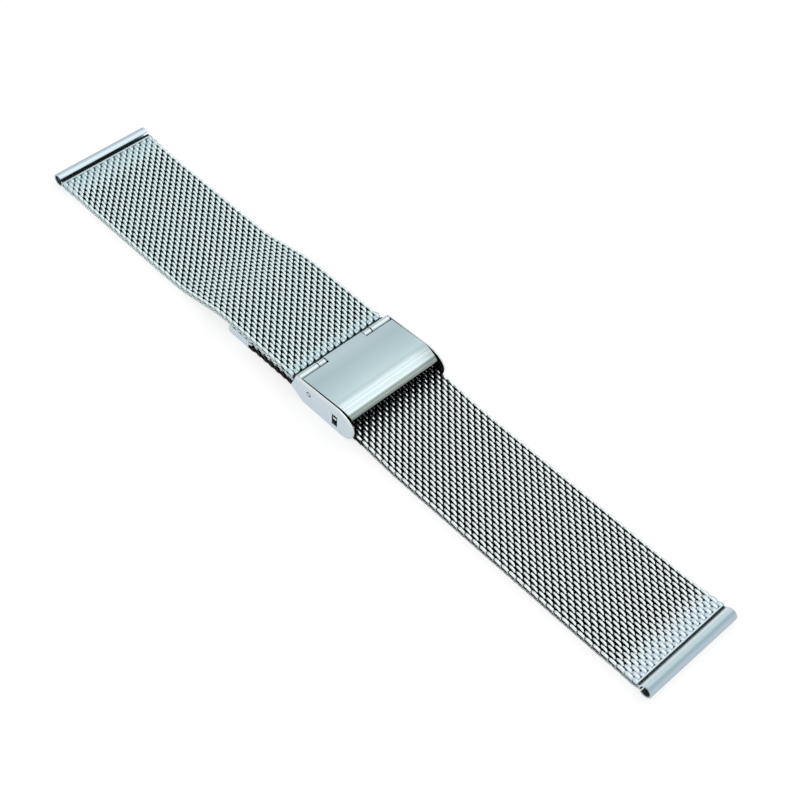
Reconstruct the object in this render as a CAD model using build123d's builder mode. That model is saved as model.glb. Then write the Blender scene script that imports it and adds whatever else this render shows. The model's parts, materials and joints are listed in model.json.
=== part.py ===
from build123d import *
import math
import os

# Milanese mesh watch band with a sliding clasp, lying closed on a table, in millimetres.
# X runs along the band, from the lug end of half A to the lug end of half B, and Z is up.
# The origin is the middle of the band's length and width, on the table.

# Band
band_length = 142.5
strap_width = 19.7
strap_thick = 1.5
strap_lift = 0.75
knuckle_clear = 0.05
row_pitch = 0.77
row_radius = 0.4
pressed_length = 1.6
pressed_thick = 1.4
a_flat_count = 4
a_slope_run = 10.8
a_slope_setback = 2.1
b_flat_count = 6
b_slope_run = 7.0
b_slope_setback = 1.3

# Lug ends: sheet rolled into an open tube for a spring bar, with a tongue in the mesh
lug_radius = 1.2
lug_bore_radius = 0.9
lug_slot_start_degrees = 12.0
lug_slot_degrees = 45.0
tongue_thick = 0.3
tongue_reach = 3.0
mesh_end_gap = 0.3

# Clasp frame: a channel bent from sheet, with a cheek on each side
pin_back_of_middle = 4.5
cheek_thick = 0.45
base_thick = 0.5
side_clear = 0.15
tip_back = 1.35
tip_height = 2.1
back_top_setback = 0.35
back_top_height = 4.85
kink_ahead = 2.15
roof_end_setback = 4.15
roof_end_height = 5.45
nose_reach = 13.45
nose_mid_height = 2.8
floor_end_setback = 2.65
bottom_bend_radius = 0.4
cheek_bevel = 0.12
window_setback = 1.2
window_length = 1.25
window_floor = 1.3
window_height = 2.4

# Hinge across the back of the clasp
pin_height = 4.15
pin_radius = 0.35
pin_clear = 0.03
barrel_radius = 0.75
link_knuckle_radius = 0.68
centre_knuckle_width = 8.3
link_knuckle_width = 1.6
knuckle_gap = 0.1

# Cover: a flat sheet that bends over at the nose and ends in a small turned-down lip
cover_thick = 0.45
cover_back_ahead = 0.9
cover_flat_end_ahead = 8.4
cover_rise = 0.7
cover_nose_radius = 6.0
cover_nose_degrees = 34.0
lip_radius = 0.4
lip_degrees = 50.0

# Spring clip under the cover
clip_thick = 0.22
clip_width = 7.0
clip_start_ahead = 3.4
clip_bend_ahead = 6.2
clip_foot_ahead = 8.6
clip_foot_length = 0.9
clip_clear = 0.06

# Lock plate, which swings on a riveted pin and bites the strap
lock_ahead = 2.95
lock_height = 3.3
lock_pin_radius = 0.45
lock_pin_stand = 0.05
lock_eye_radius = 0.72
lock_thick = 0.4
lock_reach = 9.75
lock_side_clear = 0.12
tooth_count = 3
tooth_pitch = 0.62
tooth_half_width = 0.24
tooth_clear = 0.04
tab_length = 0.8
tab_thick = 0.5
tab_setback = 0.06

# End link, which ties half A to the hinge pin
link_bar_back = 1.1
link_bar_length = 0.35
link_bar_height = 1.0
link_arm_thick = 0.5

# Tail end cap on half B
cap_length = 5.2
cap_end_back = 17.85
cap_stand = 0.05
cap_wall = 0.35
cap_end_radius = 0.5
cap_lap = 4.0

half_length = band_length / 2
half_strap = strap_width / 2
half_thick = strap_thick / 2
cheek_inner = half_strap + side_clear
cheek_outer = cheek_inner + cheek_thick
pin_x = -pin_back_of_middle
strap_mid = strap_lift + half_thick
strap_top = strap_lift + strap_thick
a_mid = strap_top + 2 * cap_stand + half_thick
tongue_start = (lug_radius + lug_bore_radius) / 2
pin_bore = pin_radius + pin_clear


def save(part, label):
    """Label a finished piece and write it to its own file."""
    part.part.label = label
    os.makedirs("parts", exist_ok=True)
    export_step(part.part, f"parts/{label}.step")


def side_plane(x=0.0, z=0.0, degrees=0.0, y=0.0):
    """An upright plane along the band that starts at a point, runs along a slope and faces -Y."""
    slope = math.radians(degrees)
    return Plane(origin=(x, y, z), x_dir=(math.cos(slope), 0, math.sin(slope)), z_dir=(0, -1, 0))


def slope_degrees(start, end):
    """Angle of the line from start to end, in the plane along the band."""
    return math.degrees(math.atan2(end[1] - start[1], end[0] - start[0]))


def unit(degrees):
    """The direction of an angle, as two shares of a length."""
    return math.cos(math.radians(degrees)), math.sin(math.radians(degrees))


def spaced(start, end, count):
    """Places that share the run from start to end equally, without the end itself."""
    return [start + (end - start) * step / count for step in range(count)]


# Half A leaves the end link level, bends once over the tail, drops past the tail cap and lies flat
cap_end_x = pin_x - cap_end_back
cap_mouth_x = cap_end_x + cap_length
a_start_x = pin_x - link_bar_back - link_bar_length
a_high_x = cap_end_x - a_slope_setback
a_low_x = a_high_x - a_slope_run
lug_a = (lug_radius - half_length, lug_radius)
a_axes = [((a_start_x + a_high_x) / 2, a_mid), (a_high_x, a_mid)]
a_axes += [(x, half_thick) for x in spaced(a_low_x, lug_a[0], a_flat_count)]

# Half B leaves the clasp level, drops past the nose and lies flat
b_high_x = pin_x + nose_reach + b_slope_setback
b_low_x = b_high_x + b_slope_run
lug_b = (half_length - lug_radius, lug_radius)
b_axes = [(b_high_x, strap_mid)]
b_axes += [(x, half_thick) for x in spaced(b_low_x, lug_b[0], b_flat_count)]


def woven_row(x):
    """Adds one row of wire spirals to a side outline: a rounded rib on each face of the strap."""
    with Locations((x, half_thick - row_radius), (x, row_radius - half_thick)):
        Circle(row_radius)


def woven_rows(first, last):
    """Adds the weave between two places to a side outline: a core and the rows that stand between them."""
    with Locations(((first + last) / 2, 0)):
        Rectangle(abs(last - first), strap_thick - 2 * row_radius)
    for x in spaced(first, last, round(abs(last - first) / row_pitch))[1:]:
        woven_row(x)


def pressed_end(first, last):
    """Adds the weave's end to a side outline: its last row, then a stretch that is pressed flat."""
    woven_row(first)
    with Locations(((first + last) / 2, 0)):
        Rectangle(abs(last - first), pressed_thick)


def mesh_length(start, end, label, at_lug=False):
    """One length of mesh between two bend axes, with a hollow end at start and a round end at end.

    At a lug the far end is pressed flat, cut square, and slit for the tongue of the lug tube."""
    run = math.dist(start, end)
    square_end = run - lug_radius - mesh_end_gap
    with BuildPart() as piece:
        with BuildSketch(side_plane(*start, slope_degrees(start, end))):
            if at_lug:
                woven_rows(0, square_end - pressed_length)
                pressed_end(square_end - pressed_length, square_end)
                with Locations((square_end - tongue_reach / 2, 0)):
                    Rectangle(tongue_reach, tongue_thick, mode=Mode.SUBTRACT)
            else:
                woven_rows(0, run)
                with Locations((run, 0)):
                    Circle(half_thick)
            Circle(half_thick + knuckle_clear, mode=Mode.SUBTRACT)
        extrude(amount=half_strap, both=True)
    save(piece, label)


# Mesh of half A, first the length on the end link's tongue
with BuildPart() as mesh_a_1:
    with BuildSketch(side_plane(z=a_mid)):
        woven_rows(a_axes[0][0], a_start_x - pressed_length)
        pressed_end(a_start_x - pressed_length, a_start_x)
        with Locations((a_axes[0][0], 0)):
            Circle(half_thick)
        with Locations((a_start_x - tongue_reach / 2, 0)):
            Rectangle(tongue_reach, tongue_thick, mode=Mode.SUBTRACT)
    extrude(amount=half_strap, both=True)
save(mesh_a_1, "mesh_a_1")

for number, (start, end) in enumerate(zip(a_axes, a_axes[1:] + [lug_a]), start=2):
    mesh_length(start, end, f"mesh_a_{number}", at_lug=end is lug_a)

# Mesh of half B, first the length inside the clasp, with its thinned end in the tail cap
lap_thick = strap_thick + 2 * cap_stand - 2 * cap_wall
with BuildPart() as mesh_b_1:
    with BuildSketch(side_plane(z=strap_mid)):
        woven_rows(b_high_x, cap_mouth_x + pressed_length)
        pressed_end(cap_mouth_x + pressed_length, cap_mouth_x)
        with Locations((cap_mouth_x - cap_lap / 2, 0)):
            Rectangle(cap_lap, lap_thick)
        with Locations((b_high_x, 0)):
            Circle(half_thick)
    extrude(amount=half_strap, both=True)
save(mesh_b_1, "mesh_b_1")

for number, (start, end) in enumerate(zip(b_axes, b_axes[1:] + [lug_b]), start=2):
    mesh_length(start, end, f"mesh_b_{number}", at_lug=end is lug_b)

# Tail end cap: a flat sleeve of sheet over the strap's end, closed and rounded at its far end
with BuildPart() as tail_cap:
    with BuildSketch(side_plane(z=strap_mid)):
        with Locations((cap_end_x + cap_length / 2, 0)):
            Rectangle(cap_length, strap_thick + 2 * cap_stand)
    extrude(amount=half_strap, both=True)
    fillet(tail_cap.edges().filter_by(Axis.Y).group_by(Axis.X)[0], radius=cap_end_radius)
    with BuildSketch(side_plane(z=strap_mid)):
        with Locations((cap_mouth_x - cap_lap / 2, 0)):
            Rectangle(cap_lap, lap_thick)
    extrude(amount=half_strap, both=True, mode=Mode.SUBTRACT)
save(tail_cap, "tail_cap")


def lug_tube(centre, mesh_end, label):
    """Sheet rolled round the spring bar's bore, open beside the tongue that runs into the mesh.

    Seen from the near edge, it is open to the left of the way into the mesh: on top at half A's lug end
    and underneath at half B's."""
    slot_edges = [lug_slot_start_degrees, lug_slot_start_degrees + lug_slot_degrees]
    corners = [(2 * lug_radius * unit(edge)[0], 2 * lug_radius * unit(edge)[1]) for edge in slot_edges]
    tongue_end = lug_radius + mesh_end_gap + tongue_reach
    with BuildPart() as tube:
        with BuildSketch(side_plane(*centre, slope_degrees(centre, mesh_end))):
            Circle(lug_radius)
            with BuildLine():
                Polyline((0, 0), *corners, close=True)
            make_face(mode=Mode.SUBTRACT)
            with Locations(((tongue_start + tongue_end) / 2, 0)):
                Rectangle(tongue_end - tongue_start, tongue_thick)
            Circle(lug_bore_radius, mode=Mode.SUBTRACT)
        extrude(amount=half_strap, both=True)
    save(tube, label)


lug_tube(lug_a, a_axes[-1], "lug_tube_a")
lug_tube(lug_b, b_axes[-1], "lug_tube_b")

# Clasp frame: the side outline of the cheeks across the full width, with the channel cut out of it
roof_end_ahead = nose_reach - roof_end_setback
floor_end_ahead = nose_reach - floor_end_setback
window_middle = lock_reach - window_setback + window_length / 2
with BuildPart() as clasp_frame:
    with BuildSketch(side_plane(pin_x)):
        with BuildLine():
            Polyline(
                (floor_end_ahead, 0),
                (kink_ahead, 0),
                (-tip_back, tip_height),
                (-back_top_setback, back_top_height),
                (roof_end_ahead, roof_end_height),
            )
            EllipticalCenterArc(
                (roof_end_ahead, nose_mid_height),
                nose_reach - roof_end_ahead,
                roof_end_height - nose_mid_height,
                start_angle=0,
                arc_size=90,
            )
            EllipticalCenterArc(
                (floor_end_ahead, nose_mid_height),
                nose_reach - floor_end_ahead,
                nose_mid_height,
                start_angle=270,
                arc_size=90,
            )
        make_face()
    extrude(amount=cheek_outer, both=True)
    bottom_edges = clasp_frame.edges().group_by(Axis.Z)[0].filter_by(Axis.X)
    fillet(bottom_edges, radius=bottom_bend_radius)
    outline_edges = clasp_frame.faces().filter_by(Axis.Y).edges()
    chamfer(outline_edges.filter_by_position(Axis.Z, nose_mid_height, roof_end_height), length=cheek_bevel)
    with BuildSketch(side_plane(pin_x)):
        with Locations(((nose_reach - tip_back) / 2, base_thick + roof_end_height)):
            Rectangle(2 * (nose_reach + tip_back), 2 * roof_end_height)
    extrude(amount=cheek_inner, both=True, mode=Mode.SUBTRACT)
    with BuildSketch(side_plane(pin_x)):
        with Locations((window_middle, window_floor + window_height / 2)):
            Rectangle(window_length, window_height)
        with Locations((lock_ahead, lock_height)):
            Circle(lock_pin_radius)
    extrude(amount=cheek_outer, both=True, mode=Mode.SUBTRACT)
save(clasp_frame, "clasp_frame")


# Knuckles of the hinge from the middle outwards: the cover's, the link's two and the frame's two barrels
centre_edge = centre_knuckle_width / 2
link_inner = centre_edge + knuckle_gap
link_outer = link_inner + link_knuckle_width
barrel_inner = link_outer + knuckle_gap
barrel_width = cheek_inner - barrel_inner

with BuildPart() as hinge_pin:
    with BuildSketch(side_plane(pin_x)):
        with Locations((0, pin_height)):
            Circle(pin_radius)
    extrude(amount=cheek_inner, both=True)
save(hinge_pin, "hinge_pin")

with BuildPart() as hinge_barrels:
    barrel_middle = barrel_inner + barrel_width / 2
    with Locations((pin_x, -barrel_middle, pin_height), (pin_x, barrel_middle, pin_height)):
        Cylinder(barrel_radius, barrel_width, rotation=(90, 0, 0))
        Cylinder(pin_radius, barrel_width, rotation=(90, 0, 0), mode=Mode.SUBTRACT)
save(hinge_barrels, "hinge_barrels")

# Cover: the sheet's middle line is traced at the sheet's thickness, and only its centre reaches the pin
cover_half = cheek_inner - side_clear
half_sheet = cover_thick / 2
flat_degrees = math.degrees(math.atan2(cover_rise, cover_flat_end_ahead))
flat_start_height = pin_height + barrel_radius - half_sheet
flat_rise_share = cover_rise / cover_flat_end_ahead

with BuildPart() as cover:
    with BuildSketch(side_plane(pin_x)):
        with BuildLine():
            flat = Line(
                (cover_back_ahead, flat_start_height + flat_rise_share * cover_back_ahead),
                (cover_flat_end_ahead, flat_start_height + cover_rise),
            )
            nose = JernArc(flat @ 1, flat % 1, cover_nose_radius, -cover_nose_degrees)
            JernArc(nose @ 1, nose % 1, lip_radius, -lip_degrees)
        trace(line_width=cover_thick)
    extrude(amount=cover_half, both=True)
    with BuildSketch(side_plane(pin_x)):
        with Locations((0, pin_height)):
            Circle(barrel_radius)
        with BuildLine():
            Line((0, flat_start_height), flat @ 1)
        trace(line_width=cover_thick)
    extrude(amount=centre_edge, both=True)
    with BuildSketch(side_plane(pin_x)):
        with Locations((0, pin_height)):
            Circle(pin_bore)
    extrude(amount=cover_half, both=True, mode=Mode.SUBTRACT)
save(cover, "cover")

# Spring clip: a leaf fixed flat under the cover, which springs down onto the lock plate
lock_top = lock_height + lock_thick / 2
half_clip = clip_thick / 2


def under_cover(ahead):
    """Height of the underside of the cover's flat at a place ahead of the pin."""
    return flat_start_height - half_sheet / math.cos(math.radians(flat_degrees)) + flat_rise_share * ahead


with BuildPart() as cover_clip:
    foot_height = lock_top + clip_clear + half_clip
    with BuildSketch(side_plane(pin_x)):
        with BuildLine():
            FilletPolyline(
                (clip_start_ahead, under_cover(clip_start_ahead) - half_clip),
                (clip_bend_ahead, under_cover(clip_bend_ahead) - half_clip),
                (clip_foot_ahead, foot_height),
                (clip_foot_ahead + clip_foot_length, foot_height),
                radius=2 * clip_thick,
            )
        trace(line_width=clip_thick)
    extrude(amount=clip_width / 2, both=True)
save(cover_clip, "cover_clip")

# Lock pin: through the cheeks, with its ends peened into low domes
with BuildPart() as lock_pin:
    with BuildSketch(side_plane(pin_x)):
        with Locations((lock_ahead, lock_height)):
            Circle(lock_pin_radius)
    extrude(amount=cheek_outer + lock_pin_stand, both=True)
    chamfer(lock_pin.edges().filter_by(GeomType.CIRCLE), length=lock_pin_stand)
save(lock_pin, "lock_pin")

# Lock plate: an eye on the pin, a flat plate, a bent-down toothed front and a tab in each cheek's window
plate_half = cheek_inner - lock_side_clear
tab_half = cheek_outer - tab_setback
tooth_tip = strap_top + tooth_clear
toothed_length = tooth_count * tooth_pitch
tab_height = lock_height - (lock_thick + tab_thick) / 2
with BuildPart() as lock_plate:
    with BuildSketch(side_plane(pin_x)):
        with Locations((lock_ahead, lock_height)):
            Circle(lock_eye_radius)
        with Locations(((lock_ahead + lock_reach) / 2, lock_height)):
            Rectangle(lock_reach - lock_ahead, lock_thick)
        with Locations((lock_reach - toothed_length / 2, (tooth_tip + tooth_half_width + lock_height) / 2)):
            Rectangle(toothed_length, lock_height - tooth_tip - tooth_half_width)
        for tooth in range(tooth_count):
            tooth_x = lock_reach - (tooth + 1 / 2) * tooth_pitch
            with BuildLine():
                Polyline(
                    (tooth_x - tooth_half_width, tooth_tip + tooth_half_width),
                    (tooth_x, tooth_tip),
                    (tooth_x + tooth_half_width, tooth_tip + tooth_half_width),
                    close=True,
                )
            make_face()
        with Locations((lock_ahead, lock_height)):
            Circle(lock_pin_radius + pin_clear, mode=Mode.SUBTRACT)
    extrude(amount=plate_half, both=True)
    with BuildSketch(side_plane(pin_x)):
        with Locations((window_middle, tab_height)):
            Rectangle(tab_length, tab_thick)
    extrude(amount=tab_half, both=True)
save(lock_plate, "lock_plate")

# End link: a tongue in half A's mesh, a cross bar behind it and an arm up to each of its knuckles
with BuildPart() as end_link:
    with BuildSketch(side_plane(z=a_mid)):
        with Locations((a_start_x + link_bar_length / 2, 0)):
            Rectangle(link_bar_length, link_bar_height)
        with Locations((a_start_x - tongue_reach / 2, 0)):
            Rectangle(tongue_reach, tongue_thick)
    extrude(amount=half_strap, both=True)
    arm_foot = (a_start_x + link_bar_length / 2 - pin_x, a_mid)
    for knuckle_start in (-link_inner, link_outer):
        with BuildSketch(side_plane(pin_x, y=knuckle_start)):
            with BuildLine():
                Line(arm_foot, (0, pin_height))
            trace(line_width=link_arm_thick)
            with Locations((0, pin_height)):
                Circle(link_knuckle_radius)
                Circle(pin_bore, mode=Mode.SUBTRACT)
        extrude(amount=link_knuckle_width)
save(end_link, "end_link")
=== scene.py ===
import json
import math

import bpy
import numpy as np
from mathutils import Matrix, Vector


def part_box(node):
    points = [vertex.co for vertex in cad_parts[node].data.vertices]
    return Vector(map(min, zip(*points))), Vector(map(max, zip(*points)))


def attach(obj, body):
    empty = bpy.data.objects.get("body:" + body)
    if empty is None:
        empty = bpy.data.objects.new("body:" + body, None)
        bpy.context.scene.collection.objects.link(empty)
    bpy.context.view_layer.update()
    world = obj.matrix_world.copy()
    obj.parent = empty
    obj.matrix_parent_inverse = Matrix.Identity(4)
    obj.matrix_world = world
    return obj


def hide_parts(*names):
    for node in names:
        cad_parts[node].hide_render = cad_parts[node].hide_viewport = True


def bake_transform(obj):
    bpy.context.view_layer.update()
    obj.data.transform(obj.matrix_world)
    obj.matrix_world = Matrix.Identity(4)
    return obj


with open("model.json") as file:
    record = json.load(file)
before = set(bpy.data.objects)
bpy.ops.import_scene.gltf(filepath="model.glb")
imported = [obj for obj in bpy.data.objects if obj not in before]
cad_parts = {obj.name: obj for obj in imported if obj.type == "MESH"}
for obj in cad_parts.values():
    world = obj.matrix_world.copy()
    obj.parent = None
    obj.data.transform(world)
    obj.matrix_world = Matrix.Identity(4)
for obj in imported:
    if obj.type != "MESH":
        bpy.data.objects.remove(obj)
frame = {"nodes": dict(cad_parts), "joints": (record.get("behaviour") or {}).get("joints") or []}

mm = 0.001
nodes = frame["nodes"]
joints = {joint["name"]: joint for joint in frame["joints"]}
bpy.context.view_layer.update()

# %% [markdown]
# The camera. The photograph was taken from close by, a little above the band's lower lug end, so the
# near end looks much wider than the far one. A long lens from further off would lose that. The camera
# is placed by the point it looks at, its compass angle, its height angle, a small roll and its distance.

# %% Camera
camera_target = np.array([7.155, 1.866, 0.0]) * mm
camera_azimuth, camera_elevation, camera_roll = 42.73, 50.53, 4.59
camera_distance = 264.2 * mm
camera_lens, camera_sensor = 72.55, 36.0
camera_near = 1 * mm


def camera_axes(azimuth, elevation, roll):
    """Right, up and backward unit vectors of a level camera, turned about its own line of sight."""
    a, e, r = np.radians([azimuth, elevation, roll])
    back = np.array([math.sin(a) * math.cos(e), -math.cos(a) * math.cos(e), math.sin(e)])
    right = np.cross([0.0, 0.0, 1.0], back)
    right /= np.linalg.norm(right)
    up = np.cross(back, right)
    return math.cos(r) * right + math.sin(r) * up, math.cos(r) * up - math.sin(r) * right, back


camera_data = bpy.data.cameras.new("camera")
camera_data.lens = camera_lens
camera_data.sensor_width = camera_sensor
camera_data.clip_start = camera_near
camera = bpy.data.objects.new("camera", camera_data)
bpy.context.scene.collection.objects.link(camera)
bpy.context.scene.camera = camera
right, up, back = camera_axes(camera_azimuth, camera_elevation, camera_roll)
matrix = np.eye(4)
matrix[:3, :3] = np.stack([right, up, back], axis=1)
matrix[:3, 3] = camera_target + back * camera_distance
camera.matrix_world = Matrix(matrix.tolist())
print("camera at", np.round(matrix[:3, 3] / mm, 1), "mm")

# %% [markdown]
# Helpers for every surface. A piece is a grid of points, worked out as one numpy array, and the faces
# are the cells of that grid. One could add points one by one, but a whole array is quicker and shows the
# formula. A grid that closes on itself, such as a wire, joins its last column to its first.

# %% Helpers for meshes


def grid_faces(rows, columns, closed=False):
    """Quads of a grid of points stored row by row: each cell joins its corner, the next point in its row
    and the two below them. A closed grid's last column joins its first."""
    across = np.arange(columns if closed else columns - 1)
    down = np.arange(rows - 1)[:, None]
    here = down * columns + across
    beside = down * columns + (across + 1) % columns
    return np.stack([here, beside, beside + columns, here + columns], axis=-1).reshape(-1, 4)


def add_mesh(name, points, quads, material):
    """One smooth mesh object at the origin, from an array of points in metres and an array of quads."""
    mesh = bpy.data.meshes.new(name)
    mesh.vertices.add(len(points))
    mesh.vertices.foreach_set("co", np.asarray(points, np.float32).ravel())
    mesh.loops.add(quads.size)
    mesh.loops.foreach_set("vertex_index", quads.astype(np.int32).ravel())
    mesh.polygons.add(len(quads))
    mesh.polygons.foreach_set("loop_start", np.arange(0, quads.size, 4, dtype=np.int32))
    mesh.polygons.foreach_set("use_smooth", np.full(len(quads), True))
    mesh.update(calc_edges=True)
    mesh.validate()
    mesh.materials.append(material)
    piece = bpy.data.objects.new(name, mesh)
    bpy.context.scene.collection.objects.link(piece)
    return piece


def add_values(piece, name, values):
    """Gives a piece one number for each of its points, under a name that a material can read."""
    attribute = piece.data.attributes.new(name, "FLOAT", "POINT")
    attribute.data.foreach_set("value", np.asarray(values, np.float32).ravel())


print("a closed grid of 3 rows and 6 columns has", len(grid_faces(3, 6, closed=True)), "faces")

# %% [markdown]
# Steel. The whole band is stainless steel, so every finish is a metal with its own roughness and its own
# fine marks. A picture of scratches would stretch on bends, so the marks are noise that is worked out at
# every point. One group of nodes makes them for all finishes, which differ in their scales and colours.

# %% Helpers for materials


def new_material(name):
    """An empty material with one Principled shader, and its tree and shader."""
    material = bpy.data.materials.new(name)
    material.use_nodes = True
    tree = material.node_tree
    return material, tree, tree.nodes["Principled BSDF"]


def add_node(tree, kind, **values):
    """A node of a kind, with plain properties set by name and input values set by their labels."""
    node = tree.nodes.new(kind)
    for key, value in values.items():
        if key in node.inputs:
            node.inputs[key].default_value = value
        else:
            setattr(node, key, value)
    return node


print("materials of the CAD model:", len(bpy.data.materials))

# %% Fine marks


def brushed_group():
    """Fine parallel marks: noise read at a scale that is long one way and short the other two ways.
    The group takes the three scales and puts out a height and a tone, both about 0.5."""
    group = bpy.data.node_groups.new("brushed_marks", "ShaderNodeTree")
    scales = group.interface.new_socket("Scales", in_out="INPUT", socket_type="NodeSocketVector")
    scales.default_value = (1000.0, 1000.0, 1000.0)
    group.interface.new_socket("Height", in_out="OUTPUT", socket_type="NodeSocketFloat")
    group.interface.new_socket("Tone", in_out="OUTPUT", socket_type="NodeSocketFloat")
    start = group.nodes.new("NodeGroupInput")
    end = group.nodes.new("NodeGroupOutput")
    place = group.nodes.new("ShaderNodeTexCoord")
    stretch = add_node(group, "ShaderNodeVectorMath", operation="MULTIPLY")
    fine = add_node(group, "ShaderNodeTexNoise", Scale=1.0, Detail=3.0, Roughness=0.7)
    broad = add_node(group, "ShaderNodeTexNoise", Scale=0.15, Detail=1.0, Roughness=0.5)
    group.links.new(place.outputs["Object"], stretch.inputs[0])
    group.links.new(start.outputs["Scales"], stretch.inputs[1])
    group.links.new(stretch.outputs[0], fine.inputs["Vector"])
    group.links.new(stretch.outputs[0], broad.inputs["Vector"])
    group.links.new(fine.outputs["Fac"], end.inputs["Height"])
    group.links.new(broad.outputs["Fac"], end.inputs["Tone"])
    return group


brushed_marks = brushed_group()
print("node group", brushed_marks.name, "has", len(brushed_marks.nodes), "nodes")

# %% Brushed steel
dull_at, bright_at = 0.3, 0.7
marks_depth = 0.02 * mm


def brushed_steel(name, colour, dull_colour, roughness, scales, bump):
    """Steel with fine marks: their broad tone mixes two near colours, and their height makes a bump."""
    material, tree, shader = new_material(name)
    marks = add_node(tree, "ShaderNodeGroup", node_tree=brushed_marks)
    marks.inputs["Scales"].default_value = scales
    tones = add_node(tree, "ShaderNodeValToRGB")
    tones.color_ramp.elements[0].position = dull_at
    tones.color_ramp.elements[0].color = (*dull_colour, 1.0)
    tones.color_ramp.elements[1].position = bright_at
    tones.color_ramp.elements[1].color = (*colour, 1.0)
    relief = add_node(tree, "ShaderNodeBump", Strength=bump, Distance=marks_depth)
    shader.inputs["Metallic"].default_value = 1.0
    shader.inputs["Roughness"].default_value = roughness
    tree.links.new(marks.outputs["Tone"], tones.inputs["Fac"])
    tree.links.new(tones.outputs["Color"], shader.inputs["Base Color"])
    tree.links.new(marks.outputs["Height"], relief.inputs["Height"])
    tree.links.new(relief.outputs["Normal"], shader.inputs["Normal"])
    return material


along_marks = (60, 900, 900)
even_marks = (400, 400, 400)
# The cover's inner side is near black: painted shade under the cover.
cover_inside = brushed_steel(
    "cover_inside", (0.072, 0.080, 0.080), (0.048, 0.056, 0.056), 0.5, (300, 60, 300), 0.3)
satin_steel = brushed_steel(
    "satin_steel", (0.608, 0.696, 0.744), (0.560, 0.656, 0.712), 0.34, along_marks, 0.25)
polished_steel = brushed_steel(
    "polished_steel", (0.528, 0.600, 0.608), (0.472, 0.552, 0.568), 0.30, (500, 500, 500), 0.08)
spring_steel = brushed_steel(
    "spring_steel", (0.320, 0.336, 0.352), (0.256, 0.272, 0.288), 0.30, along_marks, 0.2)
# The tubes' bores are darker: painted shade inside the tubes.
bore_steel = brushed_steel(
    "bore_steel", (0.240, 0.320, 0.320), (0.176, 0.240, 0.240), 0.45, even_marks, 0.2)
strip_steel = brushed_steel(
    "strip_steel", (0.496, 0.584, 0.608), (0.416, 0.504, 0.528), 0.38, (900, 300, 900), 0.4)
# Near-black steel for parts in gaps and grooves, the link's bar, arm and tongue, the pin's grooves and the
# tubes' tongues: painted shade.
dark_steel = brushed_steel(
    "dark_steel", (0.044, 0.056, 0.053), (0.024, 0.032, 0.030), 0.55, even_marks, 0.2)
print("materials with the brushed finishes:", len(bpy.data.materials))

# %% [markdown]
# Wire. The wires are bright steel on the weave's faces and painted dark down between them, as painted
# shade. Shade alone leaves the gaps too pale, because bright wires light each other. So the colour also
# follows how far out of the weave a point lies, which the mesh carries as a number for each point. The two
# halves were lit differently in the photograph, so each has its own pair of colours, with that light
# painted in.

# %% Wire steel
wire_roughness = 0.34


def wire_steel(name, colour, dark_colour, pressed_colour, dark_end, bright_start):
    """Bright drawn wire: the attribute outer is 1 on the weave's two faces and 0 half way through it, and
    a ramp turns it into a colour from near black to bright steel, which paints shade into the weave's
    depth.
    Where the attribute pressed is 1 the wire is rolled flat, and its colour is multiplied by a slightly
    darker one."""
    material, tree, shader = new_material(name)
    outer = add_node(tree, "ShaderNodeAttribute", attribute_name="outer")
    pressed = add_node(tree, "ShaderNodeAttribute", attribute_name="pressed")
    tones = add_node(tree, "ShaderNodeValToRGB")
    tones.color_ramp.elements[0].position = dark_end
    tones.color_ramp.elements[0].color = (*dark_colour, 1.0)
    tones.color_ramp.elements[1].position = bright_start
    tones.color_ramp.elements[1].color = (*colour, 1.0)
    dulled = add_node(tree, "ShaderNodeMix", data_type="RGBA", blend_type="MULTIPLY")
    dulled.inputs[7].default_value = (*pressed_colour, 1.0)
    shader.inputs["Metallic"].default_value = 1.0
    shader.inputs["Roughness"].default_value = wire_roughness
    tree.links.new(outer.outputs["Fac"], tones.inputs["Fac"])
    tree.links.new(pressed.outputs["Fac"], dulled.inputs[0])
    tree.links.new(tones.outputs["Color"], dulled.inputs[6])
    tree.links.new(dulled.outputs[2], shader.inputs["Base Color"])
    return material


# Two copies of one wire steel, with the difference of light between the halves painted into their colours.
wire_a = wire_steel("wire_steel_a", colour=(0.714, 0.822, 0.830), dark_colour=(0.010, 0.020, 0.022),
                    pressed_colour=(0.70, 0.77, 0.80), dark_end=0.45, bright_start=0.68)
wire_b = wire_steel("wire_steel_b", colour=(0.772, 0.830, 0.830), dark_colour=(0.003, 0.003, 0.004),
                    pressed_colour=(0.79, 0.86, 0.93), dark_end=0.60, bright_start=0.69)
print("wire finishes:", wire_a.name, "and", wire_b.name)

# %% [markdown]
# The frame's steel. The cheeks are satin outside, their faces that look up, such as the cheeks' top edges,
# get a painted highlight, and the channel between them gets painted shade. One could split the frame and
# give each part a material. Here one material tells the parts by where a point lies and which way its face
# looks, so the CAD node stays whole.

# %% Frame steel
cheek_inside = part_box("hinge_pin")[1][1] + 0.02 * mm
channel_floor = 0.2 * mm
# The painted highlight grows as a face's normal turns up, from the first share to the second.
highlight_starts, highlight_full = 0.25, 0.55


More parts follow.
